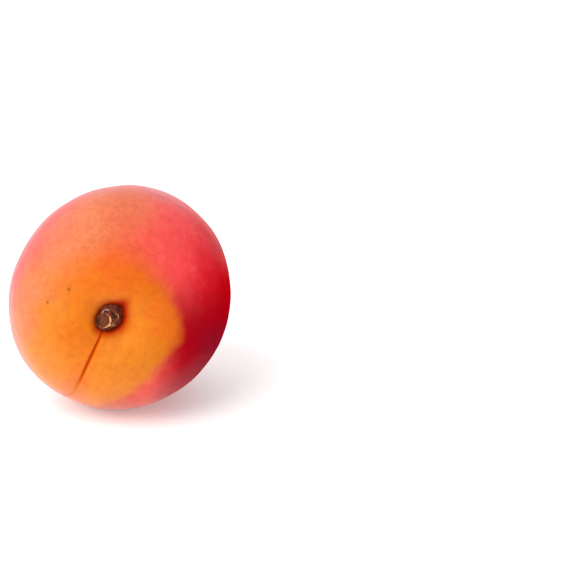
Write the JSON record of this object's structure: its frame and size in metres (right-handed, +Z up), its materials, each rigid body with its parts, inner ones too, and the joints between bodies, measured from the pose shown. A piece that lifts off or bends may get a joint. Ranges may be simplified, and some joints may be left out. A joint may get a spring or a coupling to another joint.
{
  "type": "apricot",
  "caption": "Whole ripe apricot lying on its side on a small pressed flat spot, with a suture crease and the dry stub of its stalk in the stem cavity.",
  "frame": {"origin": "under the middle of the fruit, on the flat spot that it rests on, at the bottom centre of its box", "axes": "+Z up; the stem end faces -Y and looks slightly up; the suture runs down from it on the -X side"},
  "size_m": [0.0496, 0.0478, 0.0499],
  "materials": {
    "skin": null,
    "stalk": "dry rough brown stalk, with a dished scar and pale broken edges"
  },
  "bodies": {
    "root": {"fruit": "skin", "stalk_stub": "stalk"}
  },
  "joints": []
}
